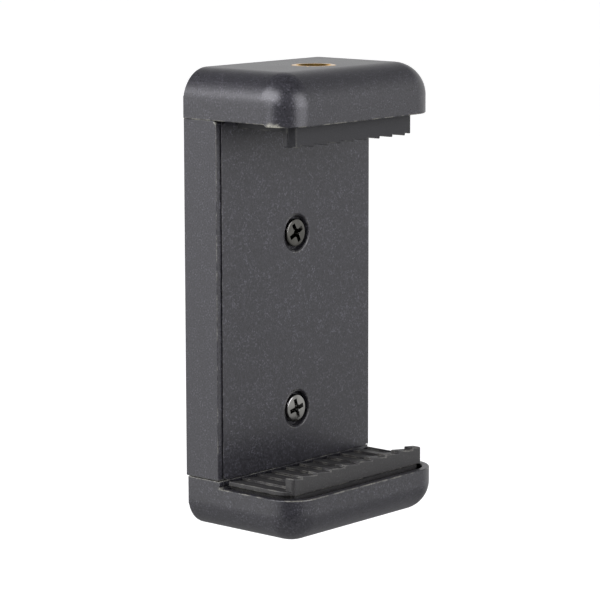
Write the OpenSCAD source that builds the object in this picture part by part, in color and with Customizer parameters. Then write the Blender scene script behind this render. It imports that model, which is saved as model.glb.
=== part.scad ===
// Spring clamp that holds a phone on a tripod, standing upright on its sliding jaw.
// The fixed jaw with its brass tripod thread is on top and the sliding jaw is below.
// X runs across the clamp, the phone side faces -Y and Z points up.

/* [Clamp] */
// Width of the clamp across its fixed jaw
clamp_w = 42.0; // [40:0.1:56]
// Depth from the back face of the housing to the front of the sliding jaw
overall_d = 25.7; // [25:0.1:33]

/* [Housing] */
// How far each side wall is set in from the side of the fixed jaw
housing_inset = 0.1; // [0:0.05:0.4]
// Depth of the housing from its back face to the front of its side walls
housing_d = 7.85; // [7.6:0.05:10]
// Height of the housing from the jaw seam to the fixed jaw
housing_h = 64.25; // [60:0.25:90]
// Thickness of the back wall
back_wall_t = 1.4; // [1:0.1:1.6]
// Thickness of the two side walls
side_wall_t = 2.2; // [1.6:0.1:3]
// Thickness of the end wall that guides the rods
lower_wall_t = 3.0; // [2:0.1:5]
// Thickness of the end wall under the fixed jaw
upper_wall_t = 2.5; // [2:0.1:4]
// Radius of the rounded front corners at the top of the side walls
wall_corner_r = 1.0; // [0.5:0.1:2]
// Chamfer on the rear upright edges
rear_chamfer = 0.15; // [0.05:0.05:1]
// Thickness of the ribs inside the plastic pieces
rib_t = 1.0; // [0.8:0.1:1.4]
// Distance from each rod to the rib beside it
rib_offset = 3.5; // [3.3:0.1:4.5]
// Diameter of the bosses that take the plate screws
boss_d = 6.0; // [5.2:0.1:7]

/* [Front plate] */
// How far each side of the plate is set in from the side of the fixed jaw
plate_inset = 0.9; // [0.5:0.05:1.4]
// How far the plate stands in front of the side walls
plate_proud = 0.65; // [0.3:0.05:1]
// How far the edge of the plate is undercut towards its back
plate_undercut = 0.5; // [0.3:0.05:0.6]
// Radius of the four corners of the plate
plate_corner_r = 1.2; // [0.8:0.1:3]
// Depth of the tongue that drops into the housing
tongue_d = 1.3; // [1:0.1:1.4]
// Clearance between the plate and the pieces above and below it
plate_end_gap = 0.3; // [0.2:0.05:0.6]
// Clearance round the tongue inside the housing
tongue_gap = 0.2; // [0.1:0.05:0.4]
// Distance from the lower end of the plate to its lower screw
lower_screw_rise = 9.75; // [8:0.05:20]
// Distance from the upper end of the plate to its upper screw
upper_screw_drop = 21.5; // [8:0.05:24]
// Diameter of the round recess over each plate screw
recess_d = 6.5; // [6.1:0.1:7.5]
// Depth of that recess
recess_depth = 1.75; // [1.6:0.05:1.9]
// Bevel round the mouth of that recess
recess_bevel = 0.3; // [0.1:0.05:0.5]
// Wall of the cup that carries the recess behind the plate
cup_wall = 1.4; // [1.2:0.1:1.6]

/* [Screws] */
// Diameter of the plate screw head
head_d = 5.1; // [4.6:0.1:5.6]
// Height of the plate screw head
head_h = 1.5; // [1.2:0.1:1.6]
// Diameter of the screw shanks
shank_d = 2.6; // [2:0.1:3]
// Length of the plate screw below its head
plate_screw_l = 4.4; // [3.8:0.1:4.6]
// Length of the screws that hold the fixed jaw
jaw_screw_l = 7.6; // [6:0.1:8]
// Diameter of the fixed jaw screw head
jaw_head_d = 4.6; // [4:0.1:4.8]
// Distance from the inside of each side wall to the fixed jaw screw beside it
jaw_screw_inset = 3.7; // [2.6:0.1:3.8]
// Turn of the upper plate screw where the driver left it
upper_screw_turn = 12; // [0:1:90]
// Turn of the lower plate screw where the driver left it
lower_screw_turn = 35; // [0:1:90]
// Width of the cross recess blades
cross_t = 0.62; // [0.4:0.02:0.8]
// Length of the cross recess
cross_l = 2.9; // [2:0.1:3.4]
// Depth of the cross recess
cross_depth = 0.9; // [0.5:0.1:1.1]

/* [Fixed jaw] */
// Depth of the fixed jaw from back to front
fixed_jaw_d = 24.4; // [23.6:0.1:32]
// Height of the fixed jaw above the housing
fixed_jaw_h = 8.8; // [8.4:0.1:12]
// Radius along the top edges
jaw_edge_r = 6.0; // [3:0.1:6.1]
// Radius of the front upright corners
jaw_corner_r = 6.3; // [6.2:0.1:9]
// How far the front lip hangs below the sides
lip_drop = 0.4; // [0.2:0.05:0.6]
// Depth of the stretch that the front lip takes
lip_run = 5.4; // [5:0.1:6.2]
// Depth of the seat for the ribbed pad
fixed_seat_depth = 1.7; // [1.2:0.1:1.9]
// Depth of the cored pockets above the pad seat
fixed_core_depth = 4.5; // [3:0.1:4.6]

/* [Threaded insert] */
// Outside diameter of the brass insert
insert_d = 8.0; // [7.5:0.1:9]
// Length of the brass insert
insert_l = 6.6; // [5:0.1:6.8]
// Bore at the crests of the quarter inch tripod thread
thread_minor_d = 5.2; // [5:0.05:5.3]
// Outside diameter of the tripod thread
thread_major_d = 6.35; // [6.3:0.05:6.4]
// Distance of the insert from the back face
insert_back = 12.3; // [11:0.1:14]
// Diameter of the plastic boss round the insert
insert_boss_d = 11.0; // [10:0.1:12]
// Depth of the groove between the two knurled bands
knurl_groove = 0.4; // [0.2:0.05:0.6]

/* [Sliding jaw] */
// How far each side of the sliding jaw is set in from the side of the fixed jaw
sliding_jaw_inset = 0.25; // [0:0.05:0.6]
// How far the back of the sliding jaw is set in
jaw_back_inset = 0.25; // [0.1:0.05:0.5]
// Height of the rim round the pad
rim_h = 8.1; // [7.2:0.1:9]
// Thickness of that rim
rim_t = 1.3; // [1:0.1:1.5]
// Height of the block under the housing
block_h = 9.4; // [9:0.1:9.8]
// Depth of that block from the back face of the housing
block_d = 8.1; // [7.9:0.05:8.3]
// Gap at the seam below the housing when the clamp is closed
seam_gap = 0.15; // [0.1:0.05:0.3]
// Radius of the front upright corners
sliding_corner_r = 5.9; // [5.7:0.1:6.4]
// Radius along the lower edges
sliding_edge_r = 5.5; // [3:0.1:5.6]
// Depth of the seat for the ribbed pad
sliding_seat_depth = 2.2; // [1.4:0.1:2.4]
// Depth of the cored pockets below the pad seat
sliding_core_depth = 3.8; // [2.5:0.1:4]

/* [Pads] */
// Distance from each side of the fixed jaw to its pad
upper_pad_inset = 3.9; // [2.6:0.1:5]
// Distance from each side of the sliding jaw to its pad
lower_pad_inset = 1.45; // [1.4:0.05:4]
// Distance from the back face to the rear edge of the upper pad
upper_pad_back = 9.5; // [8.7:0.05:11]
// Distance from the back face to the rear edge of the lower pad
lower_pad_back = 8.9; // [8.7:0.05:10]
// How far the lip of the upper pad is set back from the front of its jaw
upper_pad_setback = 2.8; // [1.8:0.05:3]
// How far the lip of the lower pad is set back from the front of its jaw
lower_pad_setback = 2.5; // [2.3:0.05:3]
// Thickness of the raised lip
pad_lip_t = 2.1; // [1.6:0.1:3]
// Radius of the front corners of the ribbed part of each pad
pad_corner_r = 3.4; // [3:0.1:3.7]
// How far each end of the upper lip is set in from the end of its pad
upper_lip_inset = 0.6; // [0.2:0.05:2]
// How far each end of the lower lip is set in from the end of its pad
lower_lip_inset = 1.4; // [1.2:0.05:2]
// Radius of the front corners of the lips
lip_corner_r = 0.8; // [0.6:0.05:1.5]
// Distance from ridge to ridge on the upper pad
upper_pitch = 3.59; // [2:0.01:6]
// Distance from ridge to ridge on the lower pad
lower_pitch = 3.86; // [2:0.01:6]
// Distance from the right edge of the upper pad to its first ridge
upper_first_ridge = 2.5; // [1:0.05:4]
// Distance from the left edge of the lower pad to its first ridge
lower_first_ridge = 3.6; // [1:0.05:4]
// Height of the ridges
ridge_h = 0.45; // [0.2:0.05:0.6]
// How far the upper ridges reach out of the fixed jaw
upper_pad_reach = 1.8; // [1.2:0.05:2.8]
// How far the lower ridges reach out of the rim
lower_pad_reach = 1.35; // [1.2:0.05:2]
// How far the upper lip reaches past its ridges
upper_lip_reach = 2.6; // [1:0.05:3]
// How far the lower lip reaches past its ridges
lower_lip_reach = 2.4; // [1:0.05:3]

/* [Guide rods and springs] */
// Diameter of the two guide rods
rod_d = 2.5; // [2:0.1:2.6]
// Distance from the inside of each side wall to the rod beside it
rod_inset = 6.7; // [6.6:0.1:6.8]
// Distance of the rods from the back face
rod_back = 4.0; // [3.9:0.05:4.1]
// Diameter of the head under the sliding jaw
rod_head_d = 4.6; // [4:0.1:5]
// Height of that head
rod_head_h = 1.0; // [0.8:0.1:1.4]
// How far that head is sunk into the underside
rod_head_sink = 0.3; // [0.2:0.05:0.6]
// Length of rod that stays above the clip
rod_tail = 0.9; // [0.6:0.1:1.5]
// Distance from the wall under the fixed jaw down to each clip when closed
clip_drop = 4.75; // [3.5:0.05:8]
// Diameter of the groove for the clip
clip_groove_d = 1.9; // [1.5:0.1:2]
// Thickness of the clip
clip_t = 0.5; // [0.4:0.05:0.7]
// Outside diameter of the clip and the washers
washer_d = 4.5; // [4:0.1:4.7]
// Thickness of the washers
washer_t = 0.5; // [0.4:0.05:0.8]
// Mean diameter of the spring coils
coil_d = 3.8; // [3.6:0.05:3.9]
// Diameter of the spring wire
wire_d = 0.6; // [0.5:0.05:0.7]
// Number of turns in each spring
spring_turns = 18; // [12:1:22]

/* [Hidden] */

$fn = 96;
// Overshoot of the cutting shapes
cut = 1;
// Distance from the sides of a jaw to the pockets behind its pad
core_inset = 4.2;
// Clearance of pieces that are pressed or screwed together
press_gap = 0.02;
// Radial clearance of the rods in the housing and of the washers on the rods
running_gap = 0.05;
// Facets round the spring wire and in each turn of it
wire_sides = 6;
turn_steps = 14;
// Room between the ribs and the plate
rib_gap = 0.3;
// Height of the dome on the screw heads
dome_h = 0.55;
// Room between the rear edge of a pad and the edge of its seat
pad_room = 0.3;

housing_w = clamp_w - 2 * housing_inset;
sliding_jaw_w = clamp_w - 2 * sliding_jaw_inset;
plate_w = clamp_w - 2 * plate_inset;
upper_pad_w = clamp_w - 2 * upper_pad_inset;
lower_pad_w = sliding_jaw_w - 2 * lower_pad_inset;
inner_w = housing_w - 2 * side_wall_t;
rod_x = inner_w / 2 - rod_inset;
rib_x = rod_x - rib_offset;
jaw_screw_x = inner_w / 2 - jaw_screw_inset;
housing_bottom = block_h + seam_gap;
housing_top = housing_bottom + housing_h;
floor_z = housing_bottom + lower_wall_t;
ceiling_z = housing_top - upper_wall_t;
clamp_top = housing_top + fixed_jaw_h;
plate_front = housing_d + plate_proud;
plate_bottom = housing_bottom + plate_end_gap;
plate_top = housing_top - plate_end_gap;
tongue_back = housing_d - tongue_d;
screw_floor = plate_front - recess_depth;
cup_back = screw_floor - cup_wall;
screw_heights = [plate_bottom + lower_screw_rise, plate_top - upper_screw_drop];
clip_z = ceiling_z - clip_drop;
rod_top = clip_z + clip_t + rod_tail;
spring_foot = floor_z + washer_t;
spring_head = clip_z - washer_t;

// Puts a piece drawn with its back at y = 0 on the centre of the clamp
module seated() {
    translate([0, overall_d / 2, 0]) children();
}

// Cylinder that runs from the depth from_back to the depth to_back, both behind the phone side
module depth_pin(r, from_back, to_back) {
    translate([0, -from_back, 0]) rotate([90, 0, 0]) cylinder(r = r, h = to_back - from_back);
}

// Plan of a jaw with a flat back and two round front corners
module jaw_plan(w, d, corner_r) {
    union() {
        translate([-w / 2, -d + corner_r]) square([w, d - corner_r]);
        translate([-w / 2 + corner_r, -d]) square([w - 2 * corner_r, d - corner_r]);
        for (side = [-1, 1]) {
            translate([side * (w / 2 - corner_r), -d + corner_r]) circle(r = corner_r);
        }
    }
}

// Rectangle from the origin whose upper outer corner is round
module one_round(w, h, r) {
    union() {
        square([w, h - r]);
        square([w - r, h]);
        translate([w - r, h - r]) intersection() {
            circle(r = r);
            square([r, r]);
        }
    }
}

// Jaw body that is flat below and at the back, with its three top edges rounded
module jaw_body(w, d, h, edge_r, corner_r) {
    run = d - corner_r;
    half = w / 2 - corner_r;
    difference() {
        union() {
            rotate([90, 0, 0]) linear_extrude(height = run) union() {
                one_round(w / 2, h, edge_r);
                mirror([1, 0]) one_round(w / 2, h, edge_r);
            }
            translate([half, -run, 0]) rotate([90, 0, -90]) linear_extrude(height = 2 * half)
                one_round(corner_r, h, edge_r);
            translate([half, -run, 0]) rotate([0, 0, -90]) rotate_extrude(angle = 90)
                one_round(corner_r, h, edge_r);
            translate([-half, -run, 0]) rotate([0, 0, 180]) rotate_extrude(angle = 90)
                one_round(corner_r, h, edge_r);
        }
        rear_edge_cuts(w, -cut, h + cut);
    }
}

// Chamfer cutters for the two rear upright edges of a piece of width w
module rear_edge_cuts(w, low, high) {
    for (side = [-1, 1]) {
        translate([side * w / 2, 0, low]) rotate([0, 0, 45])
            translate([-rear_chamfer * sqrt(0.5), -rear_chamfer * sqrt(0.5), 0])
                cube([rear_chamfer * sqrt(2), rear_chamfer * sqrt(2), high - low]);
    }
}

// Recess that a pad drops into, with the round corners of its jaw carried inwards
module pad_seat(w, d, corner_r, back, depth) {
    intersection() {
        linear_extrude(height = depth) jaw_plan(w, d, corner_r);
        translate([-w / 2 - cut, -d - cut, -cut]) cube([w + 2 * cut, d - back + cut, depth + 2 * cut]);
    }
}

// Pockets that thin the plastic behind a pad, two on each side of a middle web
module core_pockets(web, reach, back, front, depth) {
    pocket_w = (reach - web - rib_t) / 2;
    for (side = [-1, 1], place = [0, 1]) {
        translate([side * (web + pocket_w / 2 + place * (pocket_w + rib_t)) - pocket_w / 2, -front, 0])
            cube([pocket_w, front - back, depth]);
    }
}

// Cross recess of a screw, cut down from z = 0
module cross_cut() {
    for (turn = [0, 90]) {
        rotate([0, 0, turn]) translate([-cross_l / 2, -cross_t / 2, -cross_depth])
            cube([cross_l, cross_t, cross_depth + cut]);
    }
}

// Screw with its head above z = 0 and its shank below
module cross_screw(d, h, shank_l) {
    dome_r = (d * d / 4 + dome_h * dome_h) / (2 * dome_h);
    difference() {
        union() {
            cylinder(d = d, h = h - dome_h);
            intersection() {
                translate([0, 0, h - dome_r]) sphere(r = dome_r);
                cylinder(d = d, h = h);
            }
            translate([0, 0, -shank_l]) cylinder(d = shank_d, h = shank_l);
        }
        translate([0, 0, h]) cross_cut();
    }
}

// Ribbed pad that points up, with its steep ridge faces to the left and its foot at z = 0
module ribbed_pad(w, d, pitch, first, ridge_top, lip_inset, lip_reach) {
    intersection() {
        pad_stretch(w, pitch, first, ridge_top, 0, d);
        linear_extrude(height = ridge_top + cut) jaw_plan(w, d, pad_corner_r);
    }
    intersection() {
        pad_stretch(w, pitch, first, ridge_top + lip_reach, d - pad_lip_t, d);
        linear_extrude(height = ridge_top + lip_reach + cut)
            jaw_plan(w - 2 * lip_inset, d, lip_corner_r);
    }
}

// Saw-toothed bar of the pad between two depths
module pad_stretch(w, pitch, first, top, near, far) {
    valley = top - ridge_h;
    last = floor((w - first) / pitch - 0.01);
    run_out = (w - first - last * pitch) / pitch;
    teeth = [for (k = [0 : last]) let (x = first + k * pitch - w / 2) each [[x, valley], [x, top]]];
    points = concat([[-w / 2, 0], [-w / 2, valley + ridge_h * min(1, first / pitch)]], teeth,
        [[w / 2, top - ridge_h * run_out], [w / 2, 0]]);
    translate([0, -near, 0]) rotate([90, 0, 0]) linear_extrude(height = far - near) polygon(points);
}

module rear_housing() {
    color("#3c3d40") seated() difference() {
        union() {
            difference() {
                housing_block();
                translate([-inner_w / 2, -housing_d - cut, floor_z])
                    cube([inner_w, housing_d - back_wall_t + cut, ceiling_z - floor_z]);
            }
            for (z = screw_heights) {
                translate([0, 0, z]) depth_pin(boss_d / 2, back_wall_t - press_gap, cup_back);
            }
            for (side = [-1, 1]) {
                translate([side * rib_x - rib_t / 2, -tongue_back + rib_gap, floor_z - press_gap])
                    cube([rib_t, tongue_back - rib_gap - back_wall_t + press_gap,
                        ceiling_z - floor_z + 2 * press_gap]);
            }
        }
        for (z = screw_heights) {
            translate([0, 0, z]) depth_pin(shank_d / 2 + press_gap, screw_floor - plate_screw_l - press_gap,
                cup_back + cut);
        }
        for (side = [-1, 1]) {
            translate([side * rod_x, -rod_back, housing_bottom - cut])
                cylinder(d = rod_d + 2 * running_gap, h = lower_wall_t + 2 * cut);
            translate([side * jaw_screw_x, -rod_back, ceiling_z - cut])
                cylinder(d = shank_d + 2 * press_gap, h = upper_wall_t + 2 * cut);
        }
    }
}

// Outside of the housing, with the two round corners in front at the top
module housing_block() {
    difference() {
        translate([-housing_w / 2, 0, 0]) rotate([90, 0, 90]) linear_extrude(height = housing_w) union() {
            translate([-housing_d, housing_bottom]) square([housing_d, housing_h - wall_corner_r]);
            translate([wall_corner_r - housing_d, housing_bottom])
                square([housing_d - wall_corner_r, housing_h]);
            translate([wall_corner_r - housing_d, housing_top - wall_corner_r]) circle(r = wall_corner_r);
        }
        rear_edge_cuts(housing_w, housing_bottom - cut, housing_top + cut);
    }
}

module front_plate() {
    color("#3a3a3d") seated() difference() {
        union() {
            intersection() {
                plate_bar();
                plate_outline();
            }
            translate([-inner_w / 2 + tongue_gap, -housing_d - press_gap, floor_z + tongue_gap])
                cube([inner_w - 2 * tongue_gap, tongue_d + press_gap, ceiling_z - floor_z - 2 * tongue_gap]);
            for (z = screw_heights) {
                translate([0, 0, z]) depth_pin(recess_d / 2 + cup_wall, cup_back, tongue_back + press_gap);
            }
        }
        for (z = screw_heights) {
            translate([0, 0, z]) {
                depth_pin(recess_d / 2, screw_floor, plate_front + cut);
                depth_pin(shank_d / 2 + press_gap, cup_back - cut, plate_front);
                translate([0, -plate_front - cut, 0]) rotate([-90, 0, 0])
                    cylinder(d1 = recess_d + 2 * (recess_bevel + cut), d2 = recess_d, h = recess_bevel + cut);
            }
        }
    }
}

// Plate section that narrows towards its back, so that its edges are undercut
module plate_bar() {
    half = plate_w / 2;
    translate([0, 0, plate_bottom]) linear_extrude(height = plate_top - plate_bottom) polygon([
        [-half, -plate_front], [half, -plate_front],
        [half - plate_undercut, -housing_d], [plate_undercut - half, -housing_d]]);
}

// Front outline of the plate with its four round corners
module plate_outline() {
    translate([0, cut - housing_d, 0]) rotate([90, 0, 0]) linear_extrude(height = plate_proud + 2 * cut) {
        translate([-plate_w / 2 + plate_corner_r, plate_bottom])
            square([plate_w - 2 * plate_corner_r, plate_top - plate_bottom]);
        translate([-plate_w / 2, plate_bottom + plate_corner_r])
            square([plate_w, plate_top - plate_bottom - 2 * plate_corner_r]);
        for (x = [-1, 1] * (plate_w / 2 - plate_corner_r),
                z = [plate_bottom + plate_corner_r, plate_top - plate_corner_r]) {
            translate([x, z]) circle(r = plate_corner_r);
        }
    }
}

// Plate screw turned to face the phone
module plate_screw(z, turn) {
    color("#4a4a48") seated() translate([0, -screw_floor, z]) rotate([90, 0, 0])
        rotate([0, 0, turn]) cross_screw(head_d, head_h, plate_screw_l);
}

module plate_screw_upper() {
    plate_screw(screw_heights[1], upper_screw_turn);
}

module plate_screw_lower() {
    plate_screw(screw_heights[0], lower_screw_turn);
}

module fixed_jaw() {
    roof_z = housing_top + fixed_seat_depth;
    color("#47484b") seated() difference() {
        union() {
            translate([0, 0, housing_top])
                jaw_body(clamp_w, fixed_jaw_d, fixed_jaw_h, jaw_edge_r, jaw_corner_r);
            translate([0, 0, housing_top - lip_drop]) intersection() {
                linear_extrude(height = lip_drop + press_gap)
                    jaw_plan(clamp_w, fixed_jaw_d, jaw_corner_r);
                lip_ramp();
            }
        }
        translate([0, 0, housing_top - cut])
            pad_seat(clamp_w - 2 * rim_t, fixed_jaw_d - rim_t, jaw_corner_r - rim_t,
                upper_pad_back - pad_room, fixed_seat_depth + cut);
        translate([0, 0, roof_z - cut])
            core_pockets(insert_boss_d / 2, clamp_w / 2 - core_inset, upper_pad_back + rib_t,
                fixed_jaw_d - core_inset, fixed_core_depth + cut);
        translate([0, -insert_back, clamp_top - insert_l])
            cylinder(d = insert_d + 2 * press_gap, h = insert_l + cut);
        for (side = [-1, 1]) {
            translate([side * jaw_screw_x, -rod_back, housing_top - cut])
                cylinder(d = shank_d + 2 * press_gap, h = jaw_screw_l - upper_wall_t + press_gap + cut);
        }
    }
}

// Wedge that starts the front lip with a short slope
module lip_ramp() {
    front = -fixed_jaw_d - cut;
    start = lip_run - fixed_jaw_d;
    translate([-clamp_w / 2 - cut, 0, 0]) rotate([90, 0, 90])
        linear_extrude(height = clamp_w + 2 * cut) polygon([
            [front, -cut], [start - lip_drop, -cut], [start - lip_drop, 0],
            [start, lip_drop], [start, lip_drop + cut], [front, lip_drop + cut]]);
}

module jaw_screw(side) {
    color("#8d8f92") seated() translate([side * jaw_screw_x, -rod_back, ceiling_z]) rotate([180, 0, 0])
        cross_screw(jaw_head_d, head_h, jaw_screw_l);
}

module jaw_screw_left() {
    jaw_screw(-1);
}

module jaw_screw_right() {
    jaw_screw(1);
}

module threaded_insert() {
    mouth = (thread_major_d - thread_minor_d) / 2;
    color("#d9b45a") seated() translate([0, -insert_back, clamp_top - insert_l]) difference() {
        cylinder(d = insert_d, h = insert_l);
        translate([0, 0, insert_l / 2 - knurl_groove]) difference() {
            cylinder(d = insert_d + cut, h = 2 * knurl_groove);
            translate([0, 0, -cut]) cylinder(d = insert_d - 2 * knurl_groove, h = 2 * knurl_groove + 2 * cut);
        }
        translate([0, 0, -cut]) cylinder(d = thread_minor_d, h = insert_l + 2 * cut);
        translate([0, 0, insert_l - mouth])
            cylinder(d1 = thread_minor_d, d2 = thread_major_d + 2 * cut, h = mouth + cut);
    }
}

module fixed_jaw_pad() {
    color("#2f3034") seated() translate([0, -upper_pad_back, housing_top + fixed_seat_depth])
        rotate([0, 180, 0]) ribbed_pad(upper_pad_w, fixed_jaw_d - upper_pad_setback - upper_pad_back,
            upper_pitch, upper_first_ridge, fixed_seat_depth + upper_pad_reach,
            upper_lip_inset, upper_lip_reach);
}

module sliding_jaw() {
    seat_z = rim_h - sliding_seat_depth;
    color("#47484b") seated() difference() {
        union() {
            translate([0, -jaw_back_inset, rim_h]) mirror([0, 0, 1])
                jaw_body(sliding_jaw_w, overall_d - jaw_back_inset, rim_h, sliding_edge_r, sliding_corner_r);
            difference() {
                translate([-sliding_jaw_w / 2, -block_d, rim_h - 1])
                    cube([sliding_jaw_w, block_d - jaw_back_inset, block_h - rim_h + 1]);
                translate([0, -jaw_back_inset, 0]) rear_edge_cuts(sliding_jaw_w, 0, block_h + cut);
            }
        }
        translate([0, 0, seat_z])
            pad_seat(sliding_jaw_w - 2 * rim_t, overall_d - rim_t, sliding_corner_r - rim_t,
                lower_pad_back - pad_room, sliding_seat_depth + cut);
        translate([0, 0, seat_z - sliding_core_depth])
            core_pockets(rib_t / 2, sliding_jaw_w / 2 - core_inset, lower_pad_back + rib_t,
                overall_d - core_inset, sliding_core_depth + cut);
        for (side = [-1, 1]) {
            translate([side * rod_x, -rod_back, 0]) {
                translate([0, 0, -cut])
                    cylinder(d = rod_head_d + 2 * press_gap, h = rod_head_sink + rod_head_h + cut);
                cylinder(d = rod_d + 2 * press_gap, h = block_h + cut);
            }
        }
    }
}

module sliding_jaw_pad() {
    color("#2f3034") seated() translate([0, -lower_pad_back, rim_h - sliding_seat_depth])
        ribbed_pad(lower_pad_w, overall_d - lower_pad_setback - lower_pad_back,
            lower_pitch, lower_first_ridge, sliding_seat_depth + lower_pad_reach,
            lower_lip_inset, lower_lip_reach);
}

// Headed guide rod with the groove for its clip
module guide_rod(side) {
    color("#c9cbce") seated() translate([side * rod_x, -rod_back, 0]) difference() {
        union() {
            translate([0, 0, rod_head_sink]) cylinder(d = rod_head_d, h = rod_head_h);
            translate([0, 0, rod_head_sink]) cylinder(d = rod_d, h = rod_top - rod_head_sink);
        }
        translate([0, 0, clip_z]) difference() {
            cylinder(d = rod_d + cut, h = clip_t);
            translate([0, 0, -cut]) cylinder(d = clip_groove_d, h = clip_t + 2 * cut);
        }
    }
}

module guide_rod_left() {
    guide_rod(-1);
}

module guide_rod_right() {
    guide_rod(1);
}

// Compression spring swept along its helix, with a closed turn at each end
module coil_spring(side) {
    steps = spring_turns * turn_steps;
    height = spring_head - spring_foot - wire_d;
    points = [for (i = [0 : steps]) let (turn = i / turn_steps, rise = coil_rise(turn) * height)
        for (j = [0 : wire_sides - 1]) let (a = 360 * turn, b = 360 * j / wire_sides,
            reach = coil_d / 2 + wire_d / 2 * cos(b))
        [reach * cos(a), reach * sin(a), rise + wire_d / 2 * (1 + sin(b))]];
    walls = [for (i = [0 : steps - 1], j = [0 : wire_sides - 1]) let (k = (j + 1) % wire_sides)
        [i * wire_sides + j, i * wire_sides + k, (i + 1) * wire_sides + k, (i + 1) * wire_sides + j]];
    ends = [[for (j = [wire_sides - 1 : -1 : 0]) j], [for (j = [0 : wire_sides - 1]) steps * wire_sides + j]];
    color("#b9bbbe") seated() translate([side * rod_x, -rod_back, spring_foot])
        polyhedron(points = points, faces = concat(walls, ends), convexity = 8);
}

// Share of the height that the wire has reached after some turns, slower in the first and last turn
function coil_rise(turn) =
    let (slow = end_turn_rise(), free = (1 - 2 * slow) / (spring_turns - 2))
    turn < 1 ? slow * turn :
        turn > spring_turns - 1 ? 1 - slow * (spring_turns - turn) : slow + free * (turn - 1);

// Share of the height that one closed end turn takes
function end_turn_rise() = 1.1 * wire_d / (spring_head - spring_foot - wire_d);

module spring_left() {
    coil_spring(-1);
}

module spring_right() {
    coil_spring(1);
}

// Flat washer on a rod with its underside at height z
module rod_washer(side, z) {
    color("#b4b6b8") seated() translate([side * rod_x, -rod_back, z]) difference() {
        cylinder(d = washer_d, h = washer_t);
        translate([0, 0, -cut]) cylinder(d = rod_d + 2 * running_gap, h = washer_t + 2 * cut);
    }
}

module seat_washer_left() {
    rod_washer(-1, floor_z);
}

module seat_washer_right() {
    rod_washer(1, floor_z);
}

module thrust_washer_left() {
    rod_washer(-1, spring_head);
}

module thrust_washer_right() {
    rod_washer(1, spring_head);
}

// Open ring that snaps into the groove of a rod
module rod_clip(side) {
    color("#9b9da0") seated() translate([side * rod_x, -rod_back, clip_z]) difference() {
        cylinder(d = washer_d, h = clip_t);
        translate([0, 0, -cut]) cylinder(d = clip_groove_d + 2 * press_gap, h = clip_t + 2 * cut);
        translate([-clip_groove_d / 2, -washer_d, -cut]) cube([clip_groove_d, washer_d, clip_t + 2 * cut]);
    }
}

module rod_clip_left() {
    rod_clip(-1);
}

module rod_clip_right() {
    rod_clip(1);
}

rear_housing();
front_plate();
plate_screw_upper();
plate_screw_lower();
fixed_jaw();
jaw_screw_left();
jaw_screw_right();
threaded_insert();
fixed_jaw_pad();
sliding_jaw();
sliding_jaw_pad();
guide_rod_left();
guide_rod_right();
spring_left();
spring_right();
seat_washer_left();
seat_washer_right();
thrust_washer_left();
thrust_washer_right();
rod_clip_left();
rod_clip_right();
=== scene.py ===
import math

import bmesh
import bpy
from mathutils import Matrix, Vector


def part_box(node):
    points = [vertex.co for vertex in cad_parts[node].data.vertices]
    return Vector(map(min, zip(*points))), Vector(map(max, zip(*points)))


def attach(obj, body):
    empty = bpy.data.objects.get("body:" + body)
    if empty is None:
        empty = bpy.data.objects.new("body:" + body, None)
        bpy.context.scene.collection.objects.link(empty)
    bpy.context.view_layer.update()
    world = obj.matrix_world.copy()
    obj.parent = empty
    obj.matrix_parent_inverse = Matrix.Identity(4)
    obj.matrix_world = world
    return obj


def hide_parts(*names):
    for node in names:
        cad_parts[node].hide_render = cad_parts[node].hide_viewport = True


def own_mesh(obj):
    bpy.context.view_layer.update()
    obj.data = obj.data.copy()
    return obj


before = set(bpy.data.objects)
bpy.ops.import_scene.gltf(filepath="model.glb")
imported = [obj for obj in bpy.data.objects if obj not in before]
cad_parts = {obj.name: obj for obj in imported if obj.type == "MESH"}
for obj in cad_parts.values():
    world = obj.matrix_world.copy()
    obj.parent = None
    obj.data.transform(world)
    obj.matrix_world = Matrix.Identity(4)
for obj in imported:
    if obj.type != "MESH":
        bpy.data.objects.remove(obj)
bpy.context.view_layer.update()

# Camera: a long lens half a metre away, 49 degrees round to the left of the phone side and 9 degrees above
# the clamp, as it was photographed. Nothing is shifted, and all of it is sharp.
lens = bpy.data.cameras.new("view_camera")
lens.lens = 166.3
lens.sensor_width = 36
lens.clip_start = 0.01
camera = bpy.data.objects.new("view_camera", lens)
camera_place = (-0.37385, -0.32306, 0.12088)
back = Vector((-0.74294, -0.64966, 0.1612)).normalized()
right = Vector((0.65807, -0.75296, -0.00171)).normalized()
turned = Matrix((right, back.cross(right), back)).transposed().to_4x4()
camera.matrix_world = Matrix.Translation(camera_place) @ turned
bpy.context.scene.collection.objects.link(camera)
bpy.context.scene.camera = camera

# Table and air: a lit white sheet in a white room, far enough below the clamp for the jaw to open over it.
# The room is darker overhead, below and behind the camera, and brighter on the left, so that round edges
# show a dark band between two pale ones.
bpy.context.scene.view_settings.view_transform = "Standard"


class Wire:
    """One socket of a shader, on which Python arithmetic adds Math nodes."""

    def __init__(self, shading, socket):
        self.shading = shading
        self.socket = socket

    def math(self, operation, *values):
        return self.shading.add("ShaderNodeMath", {"operation": operation}, *values)

    def __add__(self, other):
        return self.math("ADD", self, other)

    __radd__ = __add__

    def __mul__(self, other):
        return self.math("MULTIPLY", self, other)

    __rmul__ = __mul__

    def __sub__(self, other):
        return self.math("SUBTRACT", self, other)

    def __rsub__(self, other):
        return self.math("SUBTRACT", other, self)

    def ramp(self, low, high):
        """0 below low, 1 above high and a smooth rise between them."""
        return self.shading.add("ShaderNodeMapRange", {"interpolation_type": "SMOOTHSTEP"}, self, low, high)


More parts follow.
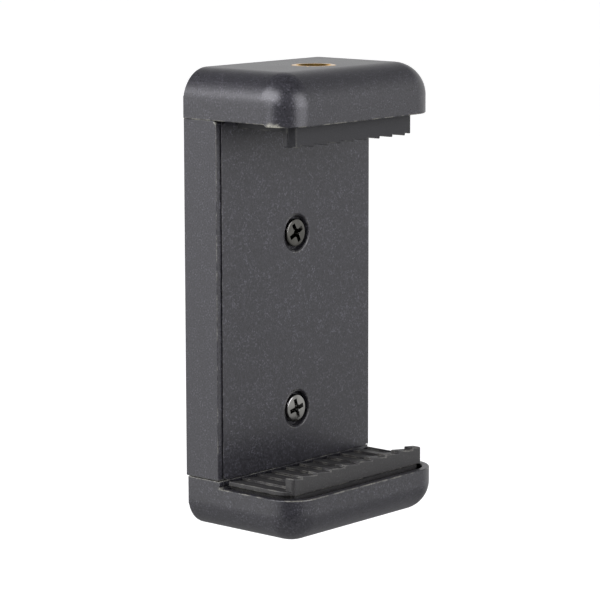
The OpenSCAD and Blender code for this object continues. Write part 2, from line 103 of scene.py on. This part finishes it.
class Shading:
    """A tree of shader nodes that is filled one node at a time."""

    def __init__(self, tree):
        self.tree = tree

    def fill(self, socket, value):
        if isinstance(value, Wire):
            self.tree.links.new(value.socket, socket)
        else:
            socket.default_value = value

    def add(self, kind, settings, *values, output=0, **named):
        node = self.tree.nodes.new(kind)
        for setting, value in settings.items():
            setattr(node, setting, value)
        for place, value in enumerate(values):
            self.fill(node.inputs[place], value)
        for socket, value in named.items():
            self.fill(node.inputs[socket.replace("_", " ")], value)
        return Wire(self, node.outputs[output])

    def blend(self, share, first, second):
        """The colour first where share is 0, and second where it is 1."""
        node = self.tree.nodes.new("ShaderNodeMix")
        node.data_type = "RGBA"
        for place, value in ((0, share), (6, first), (7, second)):
            self.fill(node.inputs[place], value)
        return Wire(self, node.outputs[2])

    def along(self, direction, way):
        """How far a direction goes one way: 1 along it, 0 across it and -1 against it."""
        return self.add("ShaderNodeVectorMath", {"operation": "DOT_PRODUCT"}, direction, way, output="Value")


world = bpy.data.worlds.new("white_room")
world.use_nodes = True
bpy.context.scene.world = world
air = Shading(world.node_tree)
look = air.add("ShaderNodeTexCoord", {}, output="Generated")
height = air.add("ShaderNodeSeparateXYZ", {}, look, output="Z")
toward_camera = air.along(look, (-0.74, -0.66, 0.1))
toward_left = air.along(look, (-0.74, 0.64, -0.2))
glow = (1 - 0.86 * height.ramp(0.25, 0.78)) * (1 - 0.93 * toward_camera.ramp(0.62, 0.9))
glow = glow * (1 + 0.7 * toward_left.ramp(0.55, 0.95)) * (0.78 + 0.22 * toward_camera.ramp(-0.92, -0.5))
glow = glow * (0.35 + 0.65 * height.ramp(-0.5, -0.12))
room = world.node_tree.nodes["Background"]
room.inputs["Color"].default_value = (1, 1, 1, 1)
air.fill(room.inputs["Strength"], glow)


class Finish(Shading):
    """A material made of nodes that feed one surface shader."""

    def __init__(self, name, **constants):
        self.material = bpy.data.materials.new(name)
        self.material.use_nodes = True
        super().__init__(self.material.node_tree)
        self.surface = self.tree.nodes["Principled BSDF"]
        for socket, value in constants.items():
            self.surface.inputs[socket.replace("_", " ")].default_value = value
        self.place = self.add("ShaderNodeTexCoord", {}, output="Object")

    def noise(self, scale, detail=3.0, roughness=0.6):
        return self.add("ShaderNodeTexNoise", {}, Vector=self.place, Scale=scale, Detail=detail,
                        Roughness=roughness)

    def feed(self, socket, wire):
        self.fill(self.surface.inputs[socket], wire)

    def relief(self, height, depth):
        self.feed("Normal", self.add("ShaderNodeBump", {}, Distance=depth, Height=height))


sheet_finish = Finish("lit_white_sheet", Roughness=0.6, Emission_Color=(1, 1, 1, 1), Emission_Strength=0.82)
sheet_tint = sheet_finish.blend(sheet_finish.noise(3), (0.38, 0.38, 0.38, 1), (0.42, 0.42, 0.42, 1))
sheet_finish.feed("Base Color", sheet_tint)
sheet_half, sheet_z = 3, -0.0265
sheet_corners = [(x * sheet_half, y * sheet_half, sheet_z) for x, y in ((-1, -1), (1, -1), (1, 1), (-1, 1))]
sheet = bpy.data.meshes.new("white_table")
sheet.from_pydata(sheet_corners, [], [(0, 1, 2, 3)])
sheet.materials.append(sheet_finish.material)
table = bpy.data.objects.new("white_table", sheet)
bpy.context.scene.collection.objects.link(table)
table.visible_glossy = False


# Studio lamps: a wide panel and a narrow strip on the left, which the side wall and the cap's corner mirror,
# and a panel in front of the phone side. The camera stands in the dark gap between them.
def lamp_panel(name, place, width, height, radiance):
    """A soft panel that hangs at a place and is turned towards the upright line through the clamp."""
    light = bpy.data.lights.new(name, "AREA")
    light.shape = "RECTANGLE"
    light.size = width
    light.size_y = height
    light.energy = radiance * math.pi * width * height
    light.color = (0.94, 0.93, 1.0)
    lamp = bpy.data.objects.new(name, light)
    lamp.location = place
    lamp.rotation_euler = (Vector((0, 0, place[2])) - Vector(place)).to_track_quat("-Z", "Y").to_euler()
    lamp.visible_camera = False
    bpy.context.scene.collection.objects.link(lamp)


lamp_panel("left_panel", (-0.3, 0.05, 0.325), 0.42, 0.28, 7.2)
lamp_panel("left_strip", (-0.38, 0.01, 0.16), 0.12, 0.3, 2.4)
lamp_panel("front_panel", (0.06, -0.39, 0.21), 0.28, 0.36, 4.4)


# Rear housing: a moulded black plastic box, open to the phone side, whose side walls carry the cover plate.
# Its skin has the fine satin grain of a spark-eroded mould, rubbed pale in specks and along its edges, and a
# pale spot at the upper corner beside the cap is a painted highlight.
def moulded_black(name, shade, polish, speckle, wear, *painted_highlights):
    """Black plastic or rubber with mould grain, pale specks, worn edges and painted highlight spots (place,
    reach).
    """
    # One pale colour serves both the worn edges and the painted highlight spots.
    wear_and_highlight_pale = (0.22, 0.215, 0.18, 1)
    grain_depth = 0.00002
    finish = Finish(name, IOR=1.5)
    fine = finish.noise(3300, 2.0, 0.65)
    patch = finish.noise(520, 2.0, 0.5)
    cloud = finish.noise(60, 3.0, 0.5)
    dark = tuple(c * 0.55 for c in shade) + (1,)
    pale = tuple(c * 4.2 for c in shade) + (1,)
    tint = finish.blend(fine.ramp(0.3, 0.5), dark, tuple(shade) + (1,))
    tint = finish.blend(fine.ramp(0.52, 0.72) * (patch.ramp(0.35, 0.65) * 0.7 + 0.3) * speckle, tint, pale)
    worn = finish.add("ShaderNodeAttribute", {"attribute_name": "worn"}, output="Fac")
    scuff_and_highlight = worn * patch.ramp(0.4, 0.62) * (fine.ramp(0.35, 0.6) * 0.5 + 0.5) * wear
    # Each spot adds a pale patch of painted highlight where a rounded edge catches the lamps.
    for spot, reach in painted_highlights:
        far = finish.add("ShaderNodeVectorMath", {"operation": "DISTANCE"}, finish.place, spot,
                         output="Value")
        scuff_and_highlight = scuff_and_highlight + (1 - far.ramp(reach * 0.3, reach)) * (fine.ramp(0.3, 0.6) * 0.6 + 0.4)
    finish.feed("Base Color", finish.blend(scuff_and_highlight, tint, wear_and_highlight_pale))
    finish.feed("Roughness", cloud * 0.06 + fine * 0.16 + (polish - 0.11))
    finish.relief(fine, grain_depth)
    return finish.material


def eased(node, name, radius, finish, body, segments=3, least=32, nudge=None, reshape=None):
    """Stands for a CAD node with its shape, its edges sharper than least degrees rounded and marked as worn.

    reshape changes the mesh before its edges are rounded, and nudge moves single points afterwards.
    """
    merge_gap, flat_angle, sharp_angle = 2e-6, math.radians(0.4), math.radians(32)
    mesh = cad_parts[node].data.copy()
    mesh.name = name
    for layer in list(mesh.attributes):
        if layer.name == "custom_normal":
            mesh.attributes.remove(layer)
    work = bmesh.new()
    work.from_mesh(mesh)
    bmesh.ops.remove_doubles(work, verts=work.verts, dist=merge_gap)
    bmesh.ops.dissolve_limit(work, angle_limit=flat_angle, verts=work.verts, edges=work.edges, delimit=set())
    if reshape:
        reshape(work)
    for face in work.faces:
        face.material_index = 0
    work.to_mesh(mesh)
    work.free()
    # The rounding gives its faces the second slot, which tells them apart until they are marked below.
    mesh.materials.clear()
    for slot in range(2):
        mesh.materials.append(finish)
    piece = bpy.data.objects.new(name, mesh)
    bpy.context.scene.collection.objects.link(piece)
    rounding = piece.modifiers.new("edge_rounding", "BEVEL")
    rounding.width = radius
    rounding.segments = segments
    rounding.limit_method = "ANGLE"
    rounding.angle_limit = math.radians(least)
    rounding.use_clamp_overlap = False
    rounding.miter_outer = "MITER_SHARP"
    rounding.material = 1
    piece.modifiers.new("fixed_facets", "TRIANGULATE")
    smoothing = piece.modifiers.new("even_shading", "WEIGHTED_NORMAL")
    smoothing.keep_sharp = True
    mesh.polygons.foreach_set("use_smooth", [True] * len(mesh.polygons))
    mesh.set_sharp_from_angle(angle=sharp_angle)
    bpy.context.view_layer.update()
    shaped = bpy.data.meshes.new_from_object(piece.evaluated_get(bpy.context.evaluated_depsgraph_get()))
    piece.modifiers.clear()
    piece.data = shaped
    if nudge:
        for vert in shaped.vertices:
            vert.co += nudge(vert.co)
    worn = shaped.attributes.new("worn", "FLOAT", "FACE")
    for face in shaped.polygons:
        worn.data[face.index].value = face.material_index
        face.material_index = 0
    shaped.materials.clear()
    shaped.materials.append(finish)
    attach(piece, body)
    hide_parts(node)


wall_low, wall_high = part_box("rear_housing")
# A pale spot painted on the housing's upper front corner beside the cap, as a painted highlight.
wall_highlight_spot = (wall_low[0], wall_low[1], wall_high[2] - 0.0001)
housing_finish = moulded_black("housing_plastic", (0.02, 0.0196, 0.0235), 0.36, 0.8, 0.35,
                               (wall_highlight_spot, 0.0008))
eased("rear_housing", "housing_shell", 0.00012, housing_finish, "clamp", least=50)

# Front plate: a flat black cover screwed to the housing, with undercut edges and two bevelled screw recesses.
# It is moulded in the same plastic, with a coarser speckle where phones rub on it, and its face stands a
# little further back, to the right and lower than in the CAD.
plate_finish = moulded_black("plate_plastic", (0.018, 0.0176, 0.0213), 0.36, 1.0, 0.2)
plate_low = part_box("front_plate")[0]
plate_back, plate_right, plate_drop = 0.00035, 0.00025, 0.0004
plate_face_depth, plate_side_from, plate_foot_height = 0.00031, 0.015, 0.00125


def set_back(spot):
    """Moves the plate's front face back, with its side edges to the right and its lower edge down."""
    if spot.y > plate_low[1] + plate_face_depth:
        return Vector((0, 0, 0))
    on_side = abs(spot.x) > plate_side_from
    at_foot = spot.z < plate_low[2] + plate_foot_height
    return Vector((plate_right if on_side else 0, plate_back, -plate_drop if at_foot else 0))


eased("front_plate", "cover_plate", 0.00012, plate_finish, "clamp", nudge=set_back)

# Fixed jaw: a deep black cap with rounded top edges, held on top of the housing by two screws from inside.
# Two pale spots painted on its lower edge, beside its left front corner, are a painted highlight.
cap_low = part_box("fixed_jaw")[0]
jaw_finish = moulded_black("jaw_plastic", (0.02, 0.0196, 0.0232), 0.31, 0.8, 0.6,
                           # Painted highlight spots on the cap's lower edge, near its left front corner.
                           ((cap_low[0] + 0.0004, cap_low[1] + 0.0042, cap_low[2]), 0.0011),
                           ((cap_low[0] + 0.001, cap_low[1] + 0.0032, cap_low[2]), 0.0009))
eased("fixed_jaw", "upper_jaw_cap", 0.0002, jaw_finish, "clamp", least=50)

# Sliding jaw: the same moulding turned over, hollowed into a tray with a thin rim round its pad.
# It is pulled up against the housing by two springs on the guide rods that are fixed in it.
block_back = 0.00025
block_front = (0.00473, 0.00495)
block_foot = 0.0078


def behind_plate(spot):
    """Moves the front of the block under the housing back, to stay behind the front plate."""
    on_front = block_front[0] < spot.y < block_front[1] and spot.z > block_foot
    return Vector((0, block_back if on_front else 0, 0))


eased("sliding_jaw", "lower_jaw_tray", 0.00018, jaw_finish, "slider", least=50,
      nudge=behind_plate)

# Pads: ribbed black rubber mats with a raised front lip, dropped into the seats of the two jaws. The upper
# lip is cut at a slant at its left end. The upper pad's rubber is darker as painted shade, where the cap
# shades it, and the lower pad's is paler as painted light. The lower pad overhangs its foot just above the
# rim of the tray, which leaves a dark line round it.
# Two copies of one rubber: darker for painted shade on the upper pad, paler for painted light on the lower.
painted_shade_rubber = moulded_black("painted_shade_rubber", (0.006, 0.006, 0.0075), 0.6, 0.4, 0.2)
painted_light_rubber = moulded_black("painted_light_rubber", (0.02, 0.0192, 0.019), 0.5, 0.4, 0.35)
pad_easing = 0.00018
upper_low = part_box("fixed_jaw_pad")[0]
lower_low, lower_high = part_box("sliding_jaw_pad")
lip_inset, lip_corner_r = 0.0006, 0.0008
slant_width, slant_depth = 0.0012, 0.0011
ridge_slope, ridge_zone = 0.126, 0.001
ledge_height, ledge_step = 0.00262, 0.00002
foot_left, foot_right, foot_front = 0.0006, 0.0004, 0.0006


def slant_lip_end(work):
    """Cuts the left front corner of the upper lip off at a slant, where the CAD has a small round."""
    lip_left = upper_low[0] + lip_inset
    for vert in work.verts:
        off_x = vert.co.x - lip_left - lip_corner_r
        off_y = vert.co.y - upper_low[1] - lip_corner_r
        if off_x < 0.00001 and off_y < 0.00001:
            share = math.atan2(-off_y, -off_x) / (math.pi / 2)
            before = vert.co.x
            vert.co.x = lip_left + slant_width * share
            vert.co.y = upper_low[1] + slant_depth * (1 - share)
            if vert.co.z < upper_low[2] + ridge_zone:
                vert.co.z -= ridge_slope * (vert.co.x - before)


def undercut_mat(work):
    """Draws the foot of the lower pad in below a ledge just above the rim of the tray."""
    ledge = lower_low[2] + ledge_height
    for height in (ledge, ledge - ledge_step):
        bmesh.ops.bisect_plane(work, geom=work.verts[:] + work.edges[:] + work.faces[:], dist=1e-7,
                               plane_co=(0, 0, height), plane_no=(0, 0, 1))
    width, depth = lower_high[0] - lower_low[0], lower_high[1] - lower_low[1]
    for vert in work.verts:
        if vert.co.z < ledge - ledge_step / 2:
            vert.co.x = vert.co.x * (1 - (foot_left + foot_right) / width) + (foot_left - foot_right) / 2
            vert.co.y = lower_high[1] + (vert.co.y - lower_high[1]) * (1 - foot_front / depth)


eased("fixed_jaw_pad", "upper_ribbed_pad", pad_easing, painted_shade_rubber, "clamp",
      reshape=slant_lip_end)
eased("sliding_jaw_pad", "lower_ribbed_pad", pad_easing, painted_light_rubber, "slider",
      reshape=undercut_mat)


# Threaded insert: turned from brass bar, with the quarter inch tripod thread cut inside and two knurled
# bands outside, pressed into the top of the fixed jaw.
def metal(name, colour, roughness, grain):
    """Plated or turned metal with an uneven polish and darker, duller patches."""
    finish = Finish(name, Metallic=1.0)
    cloud = finish.noise(400, 3.0, 0.6)
    fine = finish.noise(3000, 2.0)
    finish.feed("Base Color", finish.blend(cloud.ramp(0.3, 0.7), tuple(c * 0.7 for c in colour) + (1,),
                                           colour + (1,)))
    finish.feed("Roughness", cloud * 0.2 + fine * 0.12 + (roughness - 0.16))
    finish.relief(fine, grain)
    return finish.material


def lathe(name, rings, sides, finish, closed=True):
    """A turned shape from rings of (height, radius at an angle); closed joins the last ring to the first."""
    work = bmesh.new()
    loops = []
    for height, reach in rings:
        loop = []
        for side in range(sides):
            angle = 2 * math.pi * side / sides
            spoke = Vector((math.cos(angle), math.sin(angle), 0)) * reach(angle)
            loop.append(work.verts.new(spoke + Vector((0, 0, height))))
        loops.append(loop)
    pairs = list(zip(loops, loops[1:]))
    if closed:
        pairs.append((loops[-1], loops[0]))
    for low, high in pairs:
        for side in range(sides):
            after = (side + 1) % sides
            work.faces.new((low[side], low[after], high[after], high[side]))
    if not closed:
        work.faces.new(loops[0][::-1])
        work.faces.new(loops[-1])
    bmesh.ops.recalc_face_normals(work, faces=work.faces)
    mesh = bpy.data.meshes.new(name)
    work.to_mesh(mesh)
    work.free()
    mesh.polygons.foreach_set("use_smooth", [True] * len(mesh.polygons))
    mesh.set_sharp_from_angle(angle=math.radians(35))
    mesh.materials.append(finish)
    piece = bpy.data.objects.new(name, mesh)
    bpy.context.scene.collection.objects.link(piece)
    return piece


def middle(node):
    """Centre and the two corners of a CAD node's box."""
    low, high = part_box(node)
    return (Vector(low) + Vector(high)) / 2, Vector(low), Vector(high)


def plain(radius):
    """A ring that is round."""
    return lambda angle: radius


def knurled(radius, depth, teeth=44):
    """A ring with rounded teeth that stand up to a radius."""
    return lambda angle: radius - depth * (0.5 + 0.5 * math.cos(teeth * angle))


thread_pitch = 0.00127
thread_root, thread_crest = 0.003175, 0.0026


def thread_reach(z, fade):
    """Inside radius of the tripod thread at a height, which follows its helix round."""
    def reach(angle):
        phase = (z / thread_pitch - angle / (2 * math.pi)) % 1
        share = min(1, max(0, 2.2 * abs(phase - 0.5) - 0.05))
        return thread_crest + (thread_root - thread_crest) * share * fade
    return reach


brass = metal("brass", (0.86, 0.52, 0.16), 0.17, 0.00001)
insert_centre, insert_low, insert_high = middle("threaded_insert")
foot, top = insert_low.z, insert_high.z
groove = (foot + top) / 2
outside_r, knurl_r, knurl_depth, groove_r, bore_r = 0.00399, 0.00398, 0.0002, 0.0036, 0.003
insert_rings = [(foot, plain(0.0037)), (foot + 0.0003, plain(0.00396))]
for low, high in ((foot + 0.0004, groove - 0.0005), (groove + 0.0005, top - 0.0006)):
    insert_rings += [(low, knurled(knurl_r, knurl_depth)), (high, knurled(knurl_r, knurl_depth))]
    insert_rings += [(high + 0.0001, plain(groove_r)), (high + 0.0008, plain(groove_r))]
insert_rings = insert_rings[:-2]
insert_rings += [(top - 0.0005, plain(outside_r)), (top - 0.0001, plain(outside_r)), (top, plain(0.0039)),
                 (top, plain(0.0032)), (top - 0.0001, plain(0.00312))]
thread_steps = 64
for step in range(thread_steps + 1):
    z = top - 0.0004 - step * (top - foot - 0.0008) / thread_steps
    insert_rings.append((z, thread_reach(z, min(1, (thread_steps - step) / 8))))
insert_rings.append((foot, plain(bore_r)))
insert = lathe("knurled_insert", insert_rings, 176, brass)
insert.location = (insert_centre.x, insert_centre.y, 0)
bpy.context.view_layer.update()
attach(insert, "clamp")
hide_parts("threaded_insert")

# Screws: two pan heads in black nickel hold the plate and two zinc plated ones hold the fixed jaw. Each is
# cold headed with a rounded edge and a cross recess, and its rolled thread bites into the plastic. The
# nickel on the lower plate screw is rubbed paler.
head_h, crown_h, head_edge_r = 0.0015, 0.00012, 0.00028
shank_r, screw_core, screw_pitch = 0.00129, 0.00098, 0.0011
recess_depth, recess_rise = 0.0012, 0.0002
recess_wings = ((0, (0.0018, 0.00045), (0.0041, 0.0009)), (90, (0.0018, 0.00045), (0.0041, 0.0009)),
                (45, (0.0007, 0.0007), (0.0017, 0.0017)))


def screw_reach(z, fade):
    """Radius of a screw's thread at a height, which follows its helix round."""
    def reach(angle):
        phase = (z / screw_pitch - angle / (2 * math.pi)) % 1
        return screw_core + (shank_r - screw_core) * max(0, 1 - 3.2 * abs(phase - 0.5)) * fade
    return reach


def screw_rings(head_r, length):
    """Rings of a screw from the middle of its head, at height 0, down to its tip."""
    rings = [(0.0, plain(0.00002))]
    for share in (0.2, 0.4, 0.6, 0.8, 1):
        rings.append((-crown_h * share * share, plain(share * (head_r - head_edge_r))))
    for lean in (20, 38, 55, 72, 90):
        rings.append((-crown_h - head_edge_r * (1 - math.cos(math.radians(lean))),
                      plain(head_r - head_edge_r * (1 - math.sin(math.radians(lean))))))
    rings += [(-head_h + 0.00012, plain(head_r)), (-head_h + 0.00003, plain(head_r - 0.00004)),
              (-head_h, plain(head_r - 0.00014)), (-head_h - 0.00001, plain(shank_r))]
    start, tip = -head_h - 0.0003, -length
    steps = int((start - tip) / screw_pitch * 10)
    for step in range(steps + 1):
        z = start + (tip - start) * step / steps
        rings.append((z, screw_reach(z, min(1, step / 6, (steps - step) / 5))))
    return rings


def cross_recess():
    """The tool that cuts the recess: two tapered wings and a square core, deep end down."""
    shape = bpy.data.meshes.new("cross_recess")
    cutter = bmesh.new()
    for lean, deep_size, mouth_size in recess_wings:
        for vert in bmesh.ops.create_cube(cutter, size=1)["verts"]:
            deep = vert.co.z < 0
            long, wide = deep_size if deep else mouth_size
            spot = Vector((math.copysign(long / 2, vert.co.x), math.copysign(wide / 2, vert.co.y),
                           -recess_depth if deep else recess_rise))
            vert.co = Matrix.Rotation(math.radians(lean), 3, "Z") @ spot
    cutter.to_mesh(shape)
    cutter.free()
    tool = bpy.data.objects.new("cross_recess", shape)
    bpy.context.scene.collection.objects.link(tool)
    return tool


def cross_screw(node, name, head, along, turn, finish):
    """A pan head screw with its head towards the direction along, which stands for a CAD node."""
    centre, low, high = middle(node)
    axis = Vector(along)
    length = abs((high - low).dot(axis))
    screw = lathe(name, screw_rings(head / 2, length), 40, finish, closed=False)
    tool = cross_recess()
    cut = screw.modifiers.new("recess", "BOOLEAN")
    cut.object = tool
    cut.solver = "EXACT"
    cut.use_self = True
    bpy.context.view_layer.update()
    done = bpy.data.meshes.new_from_object(screw.evaluated_get(bpy.context.evaluated_depsgraph_get()))
    screw.modifiers.clear()
    screw.data = done
    bpy.data.objects.remove(tool)
    facing = axis.to_track_quat("Z", "Y").to_matrix()
    head_top = centre + axis * length / 2
    done.transform(Matrix.Translation(head_top) @ (facing @ Matrix.Rotation(turn, 3, "Z")).to_4x4())
    done.polygons.foreach_set("use_smooth", [True] * len(done.polygons))
    done.set_sharp_from_angle(angle=math.radians(35))
    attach(screw, "clamp")
    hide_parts(node)


black_nickel = metal("black_nickel", (0.12, 0.117, 0.108), 0.15, 0.000006)
rubbed_nickel = metal("rubbed_nickel", (0.27, 0.266, 0.255), 0.18, 0.000006)
zinc = metal("zinc_plate", (0.62, 0.63, 0.65), 0.3, 0.00001)
cross_screw("plate_screw_upper", "upper_plate_screw", 0.0051, (0, -1, 0), math.radians(28), black_nickel)
cross_screw("plate_screw_lower", "lower_plate_screw", 0.0051, (0, -1, 0), math.radians(14), rubbed_nickel)
cross_screw("jaw_screw_left", "left_jaw_screw", 0.0046, (0, 0, -1), 0.4, zinc)
cross_screw("jaw_screw_right", "right_jaw_screw", 0.0046, (0, 0, -1), 1.1, zinc)

# Guide rods: ground steel pins with a head under the sliding jaw, a groove near the top and broken edges.
# The washers on them are punched from plated sheet, and the open clips in the grooves from spring steel.
pin_easing, punched_easing = 0.00015, 0.00006
for side in ("left", "right"):
    eased("guide_rod_" + side, side + "_guide_pin", pin_easing, zinc, "slider")
    eased("seat_washer_" + side, side + "_lower_washer", punched_easing, zinc, "clamp",
          segments=2)
    eased("thrust_washer_" + side, side + "_upper_washer", punched_easing, zinc, "slider",
          segments=2)
spring_steel = metal("spring_steel", (0.5, 0.5, 0.52), 0.28, 0.000008)
for side in ("left", "right"):
    eased("rod_clip_" + side, side + "_open_clip", punched_easing, spring_steel, "slider",
          segments=2)

# Springs: round drawn wire coiled round each rod, with a closed turn at both ends. The lower end stays on
# the end wall of the housing while the clip on the rod presses the upper end down.
wire_r, coil_r, coil_turns = 0.0003, 0.0019, 18
wire_sides, turn_steps = 10, 28


def coil_rise(turn, end_rise):
    """Share of the spring's height that is reached after some turns, with close end turns."""
    if turn < 1:
        return end_rise * turn
    if turn > coil_turns - 1:
        return 1 - end_rise * (coil_turns - turn)
    return end_rise + (1 - 2 * end_rise) / (coil_turns - 2) * (turn - 1)


def coiled_spring(node, name):
    """A spring that stands for a CAD node."""
    centre, low, high = middle(node)
    rise = high.z - low.z - 2 * wire_r
    work = bmesh.new()
    loops = []
    for step in range(coil_turns * turn_steps + 1):
        turn = step / turn_steps
        angle = 2 * math.pi * turn
        climb = coil_rise(turn, 1.1 * 2 * wire_r / rise) * rise
        loop = []
        for side in range(wire_sides):
            lean = 2 * math.pi * side / wire_sides
            reach = coil_r + wire_r * math.cos(lean)
            spot = (centre.x + reach * math.cos(angle), centre.y + reach * math.sin(angle),
                    low.z + wire_r * (1 + math.sin(lean)) + climb)
            loop.append(work.verts.new(spot))
        loops.append(loop)
    for near, far in zip(loops, loops[1:]):
        for side in range(wire_sides):
            after = (side + 1) % wire_sides
            work.faces.new((near[side], near[after], far[after], far[side]))
    work.faces.new(loops[0])
    work.faces.new(loops[-1][::-1])
    bmesh.ops.recalc_face_normals(work, faces=work.faces)
    mesh = bpy.data.meshes.new(name)
    work.to_mesh(mesh)
    work.free()
    mesh.polygons.foreach_set("use_smooth", [True] * len(mesh.polygons))
    mesh.materials.append(spring_steel)
    piece = bpy.data.objects.new(name, mesh)
    bpy.context.scene.collection.objects.link(piece)
    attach(piece, "clamp")
    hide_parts(node)
    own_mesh(piece)


coiled_spring("spring_left", "left_coil_spring")
coiled_spring("spring_right", "right_coil_spring")
